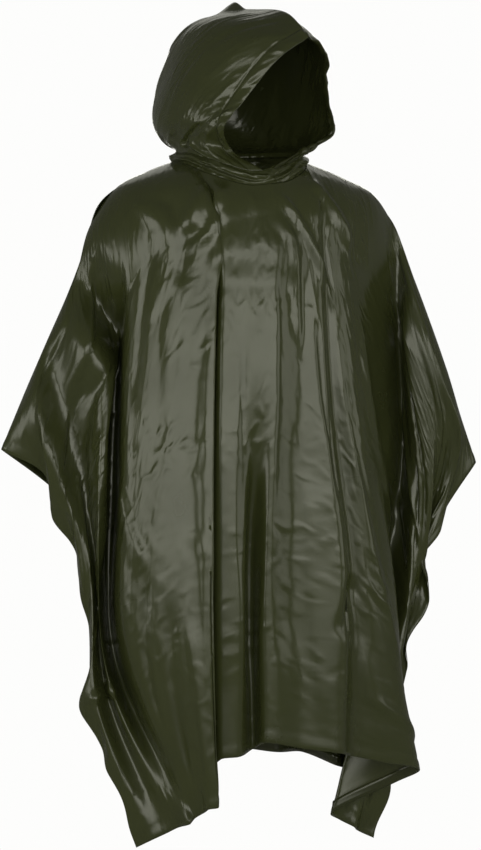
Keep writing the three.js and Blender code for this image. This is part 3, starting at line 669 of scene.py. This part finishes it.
def build_mesh(name, grid, outward_is_right_handed=True, closed=False, cut=None):
    """Mesh object from a grid of points in mm, with each point's place in the flat cut."""
    rows, columns = grid.shape[:2]
    index = np.arange(rows * columns).reshape(rows, columns)
    if closed:
        index = np.concatenate([index, index[:, :1]], axis=1)
    faces = np.stack([index[:-1, :-1], index[1:, :-1], index[1:, 1:], index[:-1, 1:]], axis=-1)
    faces = faces.reshape(-1, 4)
    if not outward_is_right_handed:
        faces = faces[:, ::-1]
    mesh = bpy.data.meshes.new(name)
    mesh.from_pydata((grid.reshape(-1, 3) * MM).tolist(), [], faces.tolist())
    mesh.shade_smooth()
    if cut is not None:
        layer = mesh.uv_layers.new(name="cut")
        corners = np.empty(len(mesh.loops), dtype=np.int32)
        mesh.loops.foreach_get("vertex_index", corners)
        places = np.stack(np.broadcast_arrays(*cut), axis=-1).reshape(-1, 2)
        layer.uv.foreach_set("vector", (places[corners] * MM).astype(np.float32).ravel())
    piece = bpy.data.objects.new(name, mesh)
    bpy.context.scene.collection.objects.link(piece)
    return piece


def give_thickness(piece, thickness):
    """Film thickness, on the inside of the outer face."""
    modifier = piece.modifiers.new("Film thickness", "SOLIDIFY")
    modifier.thickness = thickness
    modifier.offset = -1


def to_linear(hex_color):
    """Linear colour of an sRGB hex value."""
    channels = [int(hex_color[i:i + 2], 16) / 255 for i in (0, 2, 4)]
    return [c / 12.92 if c <= 0.04045 else ((c + 0.055) / 1.055) ** 2.4 for c in channels]


def add_node(tree, kind, settings=None, links=None):
    """A node with its settings and its incoming links."""
    node = tree.nodes.new(kind)
    for name, value in (settings or {}).items():
        if isinstance(name, int) or name in node.inputs:
            node.inputs[name].default_value = value
        else:
            setattr(node, name, value)
    for name, source in (links or {}).items():
        tree.links.new(source, node.inputs[name])
    return node


def film_material(name, color, shade, roughness, crumple):
    """Plasticised PVC film, calendered to a low gloss: broad highlights with crisp edges, broken by
    the sharp fine creases of film that was packed folded, over a deep green that is a little uneven
    in thickness and dye."""
    material = bpy.data.materials.new(name)
    material.use_nodes = True
    tree = material.node_tree
    tree.nodes.clear()
    place = add_node(tree, "ShaderNodeTexCoord").outputs["Object"]
    cut = add_node(tree, "ShaderNodeUVMap", {"uv_map": "cut"}).outputs["UV"]
    cloud = add_node(tree, "ShaderNodeTexNoise", {"Scale": 9.0, "Detail": 5.0}, {"Vector": place})
    tone = add_node(tree, "ShaderNodeMix", {"data_type": "RGBA", 6: (*color, 1), 7: (*shade, 1)},
                    {0: cloud.outputs["Fac"]})
    gloss = add_node(tree, "ShaderNodeMapRange",
                     {"From Min": 0.3, "From Max": 0.7,
                      "To Min": roughness - 0.05, "To Max": roughness + 0.08},
                     {"Value": cloud.outputs["Fac"]})
    # Patches of about 150 mm where the film is creased more or less
    patches = add_node(tree, "ShaderNodeTexNoise", {"Scale": 7.0, "Detail": 1.0}, {"Vector": place})
    amount = add_node(tree, "ShaderNodeMapRange",
                      {"From Min": 0.35, "From Max": 0.65, "To Min": 0.25, "To Max": 1.0},
                      {"Value": patches.outputs["Fac"]})
    normal = None
    # Creases about 16 mm apart and 90 mm long, crumples of 17 by 29 mm, and a grain of 4 by 8 mm,
    # coarser than the film's own so that it shows. Each has its cells to a metre, levels of detail,
    # strength, and depth in metres
    patterns = (
        ((62, 11, 1), 3.0, 0.55, 0.004),
        ((60, 34, 1), 3.0, 0.6 * crumple, 0.004),
        ((240, 120, 1), 1.0, 0.12, 0.0006),
    )
    for stretch, detail, strength, depth in patterns:
        spread = add_node(tree, "ShaderNodeMapping", {"Scale": stretch}, {"Vector": cut})
        ridges = add_node(tree, "ShaderNodeTexNoise",
                          {"noise_type": "RIDGED_MULTIFRACTAL", "Scale": 1.0,
                           "Detail": detail, "Distortion": 0.3},
                          {"Vector": spread.outputs["Vector"]})
        height = add_node(tree, "ShaderNodeMath", {"operation": "MULTIPLY"},
                          {0: ridges.outputs["Fac"], 1: amount.outputs["Result"]})
        bump = add_node(tree, "ShaderNodeBump", {"Strength": strength, "Distance": depth},
                        {"Height": height.outputs[0]})
        if normal:
            tree.links.new(normal, bump.inputs["Normal"])
        normal = bump.outputs["Normal"]
    shader = add_node(tree, "ShaderNodeBsdfPrincipled", {"IOR": 1.5},
                      {"Base Color": tone.outputs[2], "Roughness": gloss.outputs["Result"],
                       "Normal": normal})
    add_node(tree, "ShaderNodeOutputMaterial", links={"Surface": shader.outputs["BSDF"]})
    return material


def finish_piece(piece, material, slot, *nodes):
    """A piece's material and thickness, the nodes it stands for and the body it rides on."""
    piece.data.materials.append(material)
    give_thickness(piece, bpy.context.scene.poncho_film.thickness)
    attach(piece, "root")
    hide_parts(*nodes)


# The film as it lies in each piece: which colour it has, how much rougher it is than the plain
# calendered film, and how crumpled
FILMS = {
    "pvc_film_calendered": ("color", 0.0, 0.9),
    "pvc_film_gathered": ("color", 0.04, 1.4),
    "pvc_film_welded_hem": ("hem_color", 0.05, 1.0),
}


def named_material(name):
    """One of the films, made once from the settings."""
    found = bpy.data.materials.get(name)
    if found:
        return found
    film = bpy.context.scene.poncho_film
    color, rougher, crumple = FILMS[name]
    return film_material(name, getattr(film, color)[:], film.shade[:],
                         film.roughness + rougher, crumple)


class FilmSettings(bpy.types.PropertyGroup):
    """Colours and sizes of the poncho's film."""
    color: FloatVectorProperty(
        name="Film colour", description="Lit colour of the PVC film", subtype="COLOR",
        size=3, min=0, max=1, default=to_linear("383C22"),
    )
    shade: FloatVectorProperty(
        name="Film shade", description="Darker tone where the film is thicker", subtype="COLOR",
        size=3, min=0, max=1, default=to_linear("30341B"),
    )
    hem_color: FloatVectorProperty(
        name="Hem colour", description="Doubled film of the welded hems", subtype="COLOR",
        size=3, min=0, max=1, default=to_linear("2C2F1A"),
    )
    roughness: FloatProperty(
        name="Roughness", description="Roughness of the calendered surface", subtype="FACTOR",
        min=0.05, max=1, default=0.21,
    )
    thickness: FloatProperty(
        name="Film thickness", description="Drawn thickness of the film", subtype="DISTANCE",
        unit="LENGTH", min=0.0002, max=0.003, default=0.0008,
    )


class StudioSettings(bpy.types.PropertyGroup):
    """Floor, room and lights of the studio."""
    paper_color: FloatVectorProperty(
        name="Paper colour", description="Paper of the floor, and the room behind", subtype="COLOR",
        size=3, min=0, max=1, default=to_linear("FDFDFC"),
    )
    box_radiance: FloatProperty(
        name="Box brightness", description="Brightness of the face of each soft box",
        min=0, default=2.85,
    )
    air: FloatProperty(
        name="Air light", description="Strength of the even light of the room", min=0, default=0.14,
    )


class PONCHO_OT_body_panels(bpy.types.Operator):
    """Builds the front and back panels of creased film"""
    bl_idname = "poncho.body_panels"
    bl_label = "Body panels"

    def execute(self, context):
        for side in ("front", "back"):
            grid, _, across, down = panel_grid(side)
            cut = (fan_place(across, down), down)
            piece = build_mesh(f"{side}_panel", grid, side == "front", cut=cut)
            finish_piece(piece, named_material("pvc_film_calendered"), "pvc_film", f"body_{side}")
        return {"FINISHED"}


# A hem lies this far in behind the seam gap, and closes up to its panel over this last distance
# to the edge
HEM_SET_BACK = 0.9
HEM_TURN = 6.0


class PONCHO_OT_hems(bpy.types.Operator):
    """Builds the turned hems on the inside of the panels"""
    bl_idname = "poncho.hems"
    bl_label = "Welded hems"

    def execute(self, context):
        film = context.scene.poncho_film.thickness / MM
        for side in ("front", "back"):
            points, normals, across, down = panel_grid(side)
            inner = HEM - HEM_WIDTH
            row = int(np.argmin(np.abs(down[:, 0] - inner)))
            right = int(np.argmin(np.abs(across[0] - (FOLDS[side][0][0] + HEM_WIDTH))))
            left = int(np.argmin(np.abs(across[0] - (FOLDS[side][-1][0] - HEM_WIDTH))))
            parts = {
                f"hem_{side}": (slice(row, None), slice(None)),
                f"side_hem_{side}_right": (slice(1, row), slice(0, right + 1)),
                f"side_hem_{side}_left": (slice(1, row), slice(left, None)),
            }
            for name, (rows, columns) in parts.items():
                edge = edge_distance(side, across, down)[rows, columns]
                depth = film + SEAM_GAP + HEM_SET_BACK * np.clip(edge / HEM_TURN, 0, 1)
                grid = points[rows, columns] - normals[rows, columns] * depth[..., None]
                cut = (fan_place(across, down)[rows, columns], down[rows, columns])
                piece = build_mesh(f"{name}_film", grid, side == "front", cut=cut)
                finish_piece(piece, named_material("pvc_film_welded_hem"), "welded_hem", name)
        return {"FINISHED"}


# The band laid flat, in mm: length for a step round the neck, height, and slant of its gathers;
# and the rows and columns of its mesh
BAND_STEP_LENGTH = 26.0
BAND_FLAT_HEIGHT = 24.0
BAND_SLANT = 1.6
BAND_ROWS = 26
BAND_COLUMNS = 600

# Crumpled rolls of the neck band, in mm from the throat to the poncho's left and up
BAND_CREASES = [
    (((-250, 6), (-190, 14), (-110, 20), (-60, 14)), 14, 4.5, 0.3, 0.7),
    (((-170, 2), (-110, 10), (-60, 7), (-8, 2)), 11, 4.5, 0.0, 0.7),
    (((-120, 16), (-70, 11), (-20, 8), (8, 5)), 8, -4.5, 0.0, 1.0),
    (((-70, 22), (-34, 18), (0, 14), (16, 12)), 10, 4, 0.3, 0.8),
    (((-4, 2), (26, 8), (60, 18), (96, 23)), 10, 4.5, 0.0, 0.8),
    (((8, 12), (40, 17), (70, 22)), 7, -3.5, 0.0, 1.0),
    (((40, 4), (80, 10), (150, 14), (210, 8)), 12, 4, 0.2, 0.8),
    (((120, 20), (180, 17), (250, 20)), 9, 3, 0.0, 0.9),
    (((-312, 8), (-290, 14), (-240, 18), (-200, 22)), 10, 3.5, 0.0, 0.9),
    (((230, 4), (260, 12), (290, 10), (312, 8)), 11, 3.5, 0.0, 0.9),
]


class PONCHO_OT_neck_band(bpy.types.Operator):
    """Builds the gathered band round the neck"""
    bl_idname = "poncho.neck_band"
    bl_label = "Gathered neck band"

    def execute(self, context):
        size = (BAND_ROWS, BAND_COLUMNS)
        step = np.broadcast_to(np.linspace(0, NECK_STEPS, BAND_COLUMNS, endpoint=False), size)
        rise = np.broadcast_to(np.linspace(1, 0, BAND_ROWS)[:, None], size)
        points, outward = band_point(step, rise)
        half_way = NECK_STEPS / 2
        along = ((step + half_way) % NECK_STEPS - half_way) * BAND_STEP_LENGTH
        up = rise * BAND_FLAT_HEIGHT
        slant = np.abs(along) + up * BAND_SLANT
        rolls = crease_relief(along, up, BAND_CREASES)
        rolls += 2.0 * soft_noise(slant, up, 17, 30, 6, folded=True)
        rolls += 1.3 * soft_noise(slant - up * 3, up, 8, 14, 7, folded=True)
        fullness = np.sin(np.pi * np.clip(rise, 0.03, 0.97)) ** 0.6
        points = points + outward * (rolls * fullness)[..., None]
        points, (slant, up) = with_tucked_foot(points, slant, up)
        piece = build_mesh("neck_band_gathered", points, True, closed=True, cut=(slant, up))
        finish_piece(piece, named_material("pvc_film_gathered"), "gathered_film", "neck_band")
        return {"FINISHED"}


# The hood laid flat, in mm: length for a degree round the neck, length of a hoop, and slant
HOOD_DEGREE = 2.1
HOOP_LENGTH = 340.0
HOOD_SLANT = 0.7

# Mesh of a half of the hood; columns stand closer near the brim
HOOD_STEPS = 190
BRIM_BUNCHING = 1.25

# Turned casing of the brim: its width, half the width of its weld and of the wrinkles beside it,
# all in degrees round the neck; depth of the weld, and how far the casing stands off the hood's
# film at its edges and in the middle, in mm; and the columns of its mesh
CASING_ROUND = 12.0
CASING_WELD = 2.2
CASING_BESIDE = 14.0
CASING_GROOVE = 1.5
CASING_GAP = 0.4
CASING_PUFF = 5.0
CASING_STEPS = 16

# How far up the hoops the gathers over the neck band reach
GATHER_RISE = 0.2

# Creases of the hood on each side, as degrees round and thousandths up the hoops
HOOD_CREASES = {
    -1: [
        (((14, 930), (34, 700), (46, 560)), 16, 1.6, 0.3, 1.0),
        (((26, 980), (52, 780), (66, 660)), 14, -1.8, 0.0, 1.0),
        (((60, 960), (84, 820), (96, 740)), 18, 1.8, 0.3, 0.8),
        (((16, 640), (24, 520), (27, 430)), 10, 1.8, 0.3, 1.0),
        (((15, 470), (24, 350), (38, 250)), 12, -2.0, 0.0, 1.0),
        (((34, 330), (52, 230), (74, 120), (80, 30)), 22, -5.0, 0.3, 0.8),
        (((18, 300), (30, 190), (42, 60)), 18, 3.6, -0.3, 1.0),
        (((90, 260), (102, 150), (108, 20)), 20, 3.2, 0.3, 0.9),
        (((60, 200), (62, 110), (58, 20)), 14, 3.0, 0.0, 1.0),
        (((120, 240), (128, 130), (130, 20)), 20, -3.0, 0.2, 0.9),
        (((150, 700), (148, 460), (156, 240)), 26, 2.4, 0.2, 0.6),
        (((100, 900), (128, 760), (150, 690)), 18, 2.0, 0.0, 0.9),
    ],
    1: [
        (((15, 900), (30, 720), (36, 560)), 16, 1.8, 0.3, 1.0),
        (((36, 960), (60, 800), (86, 720)), 18, -1.8, 0.0, 0.9),
        (((16, 560), (30, 420), (40, 330)), 14, 2.0, -0.3, 1.0),
        (((22, 330), (34, 210), (40, 60)), 18, 3.6, 0.3, 0.9),
        (((60, 300), (66, 170), (60, 30)), 20, -3.6, 0.2, 0.8),
        (((96, 280), (104, 150), (98, 20)), 22, 3.0, 0.3, 0.8),
        (((128, 260), (130, 140), (138, 20)), 20, -2.8, 0.0, 0.8),
        (((92, 640), (110, 480), (112, 330)), 24, 2.2, 0.2, 0.6),
        (((140, 820), (150, 640), (148, 480)), 22, 2.2, 0.0, 0.7),
        (((1, 720), (1, 860), (1, 985)), 34, 9.0, 0.0, 1.0),
    ],
}


def hood_relief(side, around, rise):
    """Height of the hood's creases, its puffed brim casing and the gathers over the neck."""
    round_mm, rise_mm = around * HOOD_DEGREE, rise * HOOP_LENGTH
    slant = round_mm + rise_mm * HOOD_SLANT
    relief = crease_relief(around, rise * 1000, HOOD_CREASES[side])
    relief += 0.9 * soft_noise(slant, rise_mm, 17, 90, 31 + side, folded=True)
    relief += 0.8 * soft_noise(round_mm, rise_mm, 60, 80, 35 + side)
    gathered = np.clip(1 - rise / GATHER_RISE, 0, 1)
    gathers = soft_noise(round_mm - 0.8 * rise_mm, rise_mm, 15, 60, 41 + side, folded=True)
    relief += 2.4 * gathered * gathers
    beside = bell((around - CASING_ROUND) / CASING_BESIDE)
    wrinkles = soft_noise(rise_mm + 0.6 * round_mm, round_mm, 13, 30, 45 + side, folded=True)
    relief += 1.2 * beside * wrinkles
    in_casing = np.clip(1 - around / CASING_ROUND, 0, 1)
    crumples = soft_noise(rise_mm + 0.8 * round_mm, round_mm, 10, 14, 51 + side, folded=True)
    relief += np.sin(np.pi * in_casing) * (1.8 + 1.3 * crumples)
    relief -= CASING_GROOVE * bell((around - CASING_ROUND) / CASING_WELD)
    ends = np.clip(rise / 0.03, 0, 1) * np.clip((1 - rise) / 0.012, 0, 1)
    return relief * ends


def hood_grid(side, rounds, rises):
    """One side of the hood, rows from the crown seam down to the band."""
    around, rise = np.meshgrid(rounds, rises)
    points = hood_points(side, around, rise)
    normals = outward_normals(points) * side
    points = points + normals * hood_relief(side, around, rise)[..., None]
    return points, outward_normals(points) * side, around, rise


class PONCHO_OT_hood(bpy.types.Operator):
    """Builds the two halves of the hood"""
    bl_idname = "poncho.hood"
    bl_label = "Hood"

    def execute(self, context):
        for name, side in (("left", 1), ("right", -1)):
            rounds = 180 * np.linspace(0, 1, HOOD_STEPS) ** BRIM_BUNCHING
            points, _, around, rise = hood_grid(side, rounds, np.linspace(1, 0, HOOD_STEPS))
            places = with_tucked_foot(points, around * HOOD_DEGREE, rise * HOOP_LENGTH)
            grid, (round_mm, rise_mm) = places
            cut = (round_mm + HOOD_SLANT * rise_mm, rise_mm - HOOD_SLANT * round_mm)
            piece = build_mesh(f"hood_half_{name}", grid, side > 0, cut=cut)
            finish_piece(piece, named_material("pvc_film_calendered"), "pvc_film", f"hood_{name}")
        return {"FINISHED"}


class PONCHO_OT_brim_casings(bpy.types.Operator):
    """Builds the turned casings behind the hood's brim"""
    bl_idname = "poncho.brim_casings"
    bl_label = "Brim casings"

    def execute(self, context):
        film = context.scene.poncho_film.thickness / MM
        for name, side in (("left", 1), ("right", -1)):
            rounds = np.linspace(0, CASING_ROUND, CASING_STEPS)
            rises = np.linspace(0.97, 0.04, HOOD_STEPS)
            points, normals, around, rise = hood_grid(side, rounds, rises)
            rise_mm = rise * HOOP_LENGTH
            crumples = soft_noise(rise_mm + 1.6 * around, around, 11, 6, 61 + side, folded=True)
            puff = (CASING_PUFF + 1.4 * crumples) * np.sin(np.pi * around / CASING_ROUND)
            grid = points - normals * (film + CASING_GAP + puff)[..., None]
            cut = (around * HOOD_DEGREE, rise_mm)
            piece = build_mesh(f"brim_casing_{name}_film", grid, side > 0, cut=cut)
            finish_piece(piece, named_material("pvc_film_welded_hem"), "welded_hem",
                         f"brim_casing_{name}")
        return {"FINISHED"}


class PONCHO_OT_flat_cuts(bpy.types.Operator):
    """Does nothing: each sheet's flat cut is its 'cut' UV map, set when the sheet is built"""
    bl_idname = "poncho.flat_cuts"
    bl_label = "Flat cuts"

    def execute(self, context):
        return {"FINISHED"}


# Floor of the studio, in metres
FLOOR_HEIGHT = -1.45
FLOOR_WIDTH = 60.0

# Tint of the even light of the room, and of the lamps in the soft boxes
AIR_TINT = (1, 0.99, 0.93)
LAMP_COLOR = (1, 1, 0.88)

# Soft boxes: share of the brightness, azimuth, distance, height of the middle, width and height,
# and whether the film mirrors the box
SOFT_BOXES = (
    ("front_box", 1.0, -9, 5.2, 0.45, (8.6, 1.9), True),
    ("low_box", 0.36, -9, 5.2, -0.95, (8.6, 0.8), True),
    ("right_box", 0.9, -80, 3.2, -0.35, (2.2, 1.1), True),
    ("left_box", 0.45, 58, 3.2, -0.1, (1.8, 1.6), True),
    ("top_box", 0.2, 165, 3.0, 2.0, (3.0, 1.6), True),
    ("back_box", 1.0, 165, 4.4, 0.2, (1.9, 1.9), True),
    ("back_fill", 0.9, 175, 4.4, 0.4, (5.0, 2.2), False),
)

# Camera: degrees round and up from straight in front, distance and target in metres, lens in mm
CAMERA_AZIMUTH = -15.0
CAMERA_ELEVATION = 1.5
CAMERA_DISTANCE = 4.5
CAMERA_TARGET = (-0.004, 0, -0.437)
CAMERA_LENS = 112.1


def paper_floor(color):
    """Pale paper floor. The camera sees it evenly lit and one with the pale room behind it."""
    half = FLOOR_WIDTH / 2
    corners = [[(x, y, FLOOR_HEIGHT) for x in (-half, half)] for y in (-half, half)]
    floor = build_mesh("paper_floor", np.array(corners) / MM)
    material = bpy.data.materials.new("seamless_paper")
    material.use_nodes = True
    tree = material.node_tree
    tree.nodes.clear()
    path = add_node(tree, "ShaderNodeLightPath")
    paper = add_node(tree, "ShaderNodeBsdfDiffuse", {"Color": (*color, 1)})
    lit = add_node(tree, "ShaderNodeEmission", {"Color": (*color, 1)})
    mix = add_node(tree, "ShaderNodeMixShader",
                   links={0: path.outputs["Is Camera Ray"], 1: paper.outputs[0], 2: lit.outputs[0]})
    add_node(tree, "ShaderNodeOutputMaterial", links={"Surface": mix.outputs[0]})
    floor.data.materials.append(material)
    floor.visible_glossy = False


def pale_room(color, air):
    """World: pale behind the poncho, and a weak even light on it."""
    world = bpy.data.worlds.new("studio_room")
    world.use_nodes = True
    tree = world.node_tree
    tree.nodes.clear()
    path = add_node(tree, "ShaderNodeLightPath")
    light = [part * air for part in AIR_TINT]
    seen = add_node(tree, "ShaderNodeMix", {"data_type": "RGBA", 6: (*light, 1), 7: (*color, 1)},
                    {0: path.outputs["Is Camera Ray"]})
    room = add_node(tree, "ShaderNodeBackground", links={"Color": seen.outputs[2]})
    add_node(tree, "ShaderNodeOutputWorld", links={"Surface": room.outputs["Background"]})
    bpy.context.scene.world = world


def area_light(name, power, place, size, target):
    """One rectangular light that faces a target."""
    light = bpy.data.lights.new(name, "AREA")
    light.shape = "RECTANGLE"
    light.size, light.size_y = size
    light.energy = power
    light.color = LAMP_COLOR
    box = bpy.data.objects.new(name, light)
    box.location = place
    box.rotation_mode = "QUATERNION"
    box.rotation_quaternion = (Vector(target) - box.location).to_track_quat("-Z", "Y")
    box.visible_camera = False
    bpy.context.scene.collection.objects.link(box)
    return box


def soft_box(name, radiance, azimuth, distance, height, size, mirrored):
    """A large soft box round the poncho; azimuth 0 is straight in front, 90 on its left. A box
    that stands high looks down at the poncho."""
    angle = math.radians(azimuth)
    place = (distance * math.sin(angle), -distance * math.cos(angle), height)
    power = radiance * math.pi * size[0] * size[1]
    box = area_light(name, power, place, size, (0, 0, min(height, 0)))
    box.visible_glossy = mirrored


def set_camera():
    """Camera at the height of the skirt, a little to the poncho's right."""
    azimuth, elevation = math.radians(CAMERA_AZIMUTH), math.radians(CAMERA_ELEVATION)
    back = Vector((
        math.sin(azimuth) * math.cos(elevation),
        -math.cos(azimuth) * math.cos(elevation),
        math.sin(elevation),
    ))
    data = bpy.data.cameras.new("camera")
    data.lens = CAMERA_LENS
    camera = bpy.data.objects.new("camera", data)
    camera.location = Vector(CAMERA_TARGET) + back * CAMERA_DISTANCE
    camera.rotation_mode = "QUATERNION"
    camera.rotation_quaternion = (-back).to_track_quat("-Z", "Y")
    bpy.context.scene.collection.objects.link(camera)
    bpy.context.scene.camera = camera


class PONCHO_OT_studio(bpy.types.Operator):
    """Sets the paper floor, the pale room, the soft boxes and the camera"""
    bl_idname = "poncho.studio"
    bl_label = "Studio"

    def execute(self, context):
        studio = context.scene.poncho_studio
        paper_floor(studio.paper_color[:])
        pale_room(studio.paper_color[:], studio.air)
        for name, share, azimuth, distance, height, size, mirrored in SOFT_BOXES:
            soft_box(name, studio.box_radiance * share, azimuth, distance, height, size, mirrored)
        context.scene.view_settings.view_transform = "Standard"
        set_camera()
        return {"FINISHED"}


class PONCHO_PT_panel(bpy.types.Panel):
    """Lists the poncho's operators and settings."""
    bl_idname = "PONCHO_PT_panel"
    bl_label = "Rain poncho"
    bl_space_type = "VIEW_3D"
    bl_region_type = "UI"
    bl_category = "Poncho"

    def draw(self, context):
        for operator in OPERATORS:
            self.layout.operator(operator.bl_idname)
        for group in (context.scene.poncho_film, context.scene.poncho_studio):
            for name in type(group).__annotations__:
                self.layout.prop(group, name)


OPERATORS = (
    PONCHO_OT_body_panels,
    PONCHO_OT_hems,
    PONCHO_OT_neck_band,
    PONCHO_OT_hood,
    PONCHO_OT_brim_casings,
    PONCHO_OT_flat_cuts,
    PONCHO_OT_studio,
)
CLASSES = (FilmSettings, StudioSettings, *OPERATORS, PONCHO_PT_panel)


def register():
    for item in CLASSES:
        bpy.utils.register_class(item)
    bpy.types.Scene.poncho_film = PointerProperty(type=FilmSettings)
    bpy.types.Scene.poncho_studio = PointerProperty(type=StudioSettings)


def unregister():
    del bpy.types.Scene.poncho_film
    del bpy.types.Scene.poncho_studio
    for item in reversed(CLASSES):
        bpy.utils.unregister_class(item)


def main():
    register()
    for operator in OPERATORS:
        getattr(bpy.ops.poncho, operator.bl_idname.split(".")[1])()


if __name__ == "__main__":
    main()
